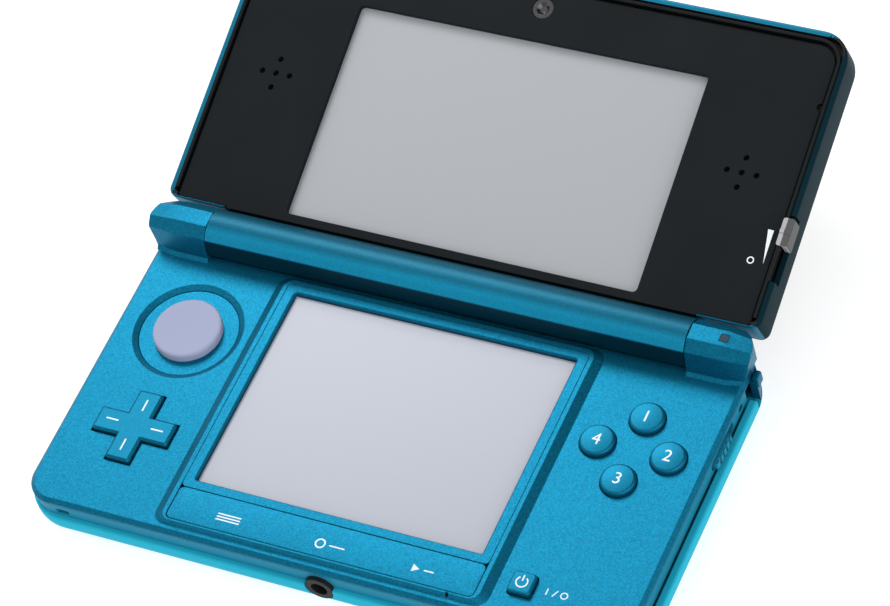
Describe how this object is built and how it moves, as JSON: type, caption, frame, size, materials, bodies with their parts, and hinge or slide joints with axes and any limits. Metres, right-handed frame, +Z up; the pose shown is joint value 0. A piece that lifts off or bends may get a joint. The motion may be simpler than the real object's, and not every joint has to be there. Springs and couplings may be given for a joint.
{
  "type": "handheld folding game player",
  "caption": "Folding pocket game player: a base with screen, slide pad, cross key and round keys, and a hinged lid with a wide screen.",
  "frame": {"origin": "on the resting plane, below the centre of the lower screen", "axes": "+X to the player's right, +Y away from the player towards the hinge, +Z up out of the lower screen"},
  "size_m": [0.134, 0.135, 0.0354],
  "materials": {
    "shell_cyan": "satin gloss moulded plastic",
    "band_teal": "satin moulded plastic",
    "face_blue": "metallic fleck lacquer",
    "key_blue": "metallic fleck lacquer",
    "pad_grey": "soft matt",
    "panel_black": "fine grained satin",
    "rim_black": "gloss",
    "lid_blue": "gloss",
    "screen_grey": "unlit display behind a clear layer",
    "touch_clear": "clear matt film over an unlit display",
    "board_green": "solder mask",
    "chip_black": "moulded epoxy",
    "can_steel": "tinned sheet",
    "cell_grey": "label free wrap",
    "nylon_black": "glass filled nylon",
    "rubber_grey": "silicone",
    "screw_steel": "zinc plated",
    "contact_brass": "plated",
    "knob_silver": "satin chrome",
    "lens_black": "gloss",
    "lamp_clear": "smoked clear",
    "flex_amber": "polyimide film",
    "card_blue": "moulded"
  },
  "bodies": {
    "base": {"bottom_cover": "shell_cyan", "mid_frame": "band_teal", "control_faceplate": "face_blue", "screen_frame": "face_blue", "touch_panel": "touch_clear", "lower_screen_module": "touch_clear", "circle_pad_housing": "nylon_black", "main_board": "board_green", "board_chips": "chip_black", "wireless_module": "can_steel", "battery_pack": "cell_grey", "game_card_connector": "nylon_black", "memory_card_reader": "can_steel", "memory_card": "card_blue", "audio_jack": "nylon_black", "charge_socket": "can_steel", "charge_contacts": "contact_brass", "infrared_window": "lens_black", "key_membrane_sheets": "rubber_grey", "key_switches": "nylon_black", "volume_potentiometer": "nylon_black", "cover_screws": "screw_steel", "case_screws": "screw_steel", "pivot_pins": "screw_steel", "shoulder_springs": "screw_steel", "hinge_clutch": "screw_steel", "hinge_bush": "nylon_black", "light_guides": "lamp_clear"},
    "lid": {"lid_outer_cover": "lid_blue", "lid_frame": "lid_blue", "lid_rim": "rim_black", "lid_front_panel": "panel_black", "parallax_panel": "screen_grey", "upper_screen_module": "screen_grey", "inner_camera": "lens_black", "outer_cameras": "lens_black", "speakers": "nylon_black", "depth_potentiometer": "nylon_black", "hinge_flex_cable": "flex_amber", "lid_screws": "screw_steel"},
    "depth_slider": {"depth_slider_knob": "knob_silver"},
    "menu_strip": {"menu_key_strip": "face_blue"},
    "pad_carriage": {"circle_pad_carriage": "nylon_black"},
    "pad": {"circle_pad_slider": "face_blue", "circle_pad_cap": "pad_grey"},
    "cross_ring": {"cross_key_ring": "rubber_grey"},
    "cross": {"cross_key": "key_blue"},
    "key_right": {"round_key_right": "key_blue"},
    "key_far": {"round_key_far": "key_blue"},
    "key_left": {"round_key_left": "key_blue"},
    "key_near": {"round_key_near": "key_blue"},
    "power": {"power_key": "key_blue"},
    "shoulder_left": {"shoulder_button_left": "key_blue"},
    "shoulder_right": {"shoulder_button_right": "key_blue"},
    "volume_slider": {"volume_slider_knob": "band_teal"},
    "wireless_slider": {"wireless_slider_knob": "band_teal"},
    "door": {"card_door": "shell_cyan"},
    "stylus_tip": {"stylus_tip_tube": "nylon_black"},
    "stylus_body": {"stylus_grip": "nylon_black"}
  },
  "joints": [
    {"name": "lid_hinge", "type": "hinge", "parent": "base", "child": "lid", "pos_m": [0, 0.03188, 0.0141], "axis": [1, 0, 0], "range_deg": [-16.9, 163]},
    {"name": "depth_slide", "type": "slide", "parent": "lid", "child": "depth_slider", "axis": [0, 0.9567, 0.2912], "range_m": [-0.0071, 0]},
    {"name": "menu_press", "type": "slide", "parent": "base", "child": "menu_strip", "axis": [0, 0, 1], "range_m": [-0.0003, 0], "stiffness_N_per_m": 2000},
    {"name": "pad_slide_x", "type": "slide", "parent": "base", "child": "pad_carriage", "axis": [1, 0, 0], "range_m": [-0.0022, 0.0022], "stiffness_N_per_m": 120},
    {"name": "pad_slide_y", "type": "slide", "parent": "pad_carriage", "child": "pad", "axis": [0, 1, 0], "range_m": [-0.0022, 0.0022], "stiffness_N_per_m": 120},
    {"name": "cross_tilt_x", "type": "hinge", "parent": "base", "child": "cross_ring", "pos_m": [-0.04925, -0.0152, 0.0083], "axis": [1, 0, 0], "range_deg": [-3, 3], "stiffness_Nm_per_rad": 0.3},
    {"name": "cross_tilt_y", "type": "hinge", "parent": "cross_ring", "child": "cross", "pos_m": [-0.04925, -0.0152, 0.0083], "axis": [0, 1, 0], "range_deg": [-3, 3], "stiffness_Nm_per_rad": 0.3},
    {"name": "key_right_press", "type": "slide", "parent": "base", "child": "key_right", "axis": [0, 0, 1], "range_m": [-0.0008, 0], "stiffness_N_per_m": 800},
    {"name": "key_far_press", "type": "slide", "parent": "base", "child": "key_far", "axis": [0, 0, 1], "range_m": [-0.0008, 0], "stiffness_N_per_m": 800},
    {"name": "key_left_press", "type": "slide", "parent": "base", "child": "key_left", "axis": [0, 0, 1], "range_m": [-0.0008, 0], "stiffness_N_per_m": 800},
    {"name": "key_near_press", "type": "slide", "parent": "base", "child": "key_near", "axis": [0, 0, 1], "range_m": [-0.0008, 0], "stiffness_N_per_m": 800},
    {"name": "power_press", "type": "slide", "parent": "base", "child": "power", "axis": [0, 0, 1], "range_m": [-0.0005, 0], "stiffness_N_per_m": 1500},
    {"name": "shoulder_left_press", "type": "hinge", "parent": "base", "child": "shoulder_left", "pos_m": [-0.0485, 0.0335, 0.0067], "axis": [0, 0, 1], "range_deg": [0, 4], "stiffness_Nm_per_rad": 0.05},
    {"name": "shoulder_right_press", "type": "hinge", "parent": "base", "child": "shoulder_right", "pos_m": [0.0485, 0.0335, 0.0067], "axis": [0, 0, 1], "range_deg": [-4, 0], "stiffness_Nm_per_rad": 0.05},
    {"name": "volume_slide", "type": "slide", "parent": "base", "child": "volume_slider", "axis": [0, 1, 0], "range_m": [-0.0033, 0.0033]},
    {"name": "wireless_slide", "type": "slide", "parent": "base", "child": "wireless_slider", "axis": [0, 1, 0], "range_m": [0, 0.0026]},
    {"name": "door_swing", "type": "hinge", "parent": "base", "child": "door", "pos_m": [-0.0661, 0.0227, 0.0038], "axis": [0, 0, 1], "range_deg": [-100, 0]},
    {"name": "stylus_draw", "type": "slide", "parent": "base", "child": "stylus_tip", "axis": [0, 1, 0], "range_m": [0, 0.045]},
    {"name": "stylus_extend", "type": "slide", "parent": "stylus_tip", "child": "stylus_body", "axis": [0, 1, 0], "range_m": [0, 0.03]}
  ]
}
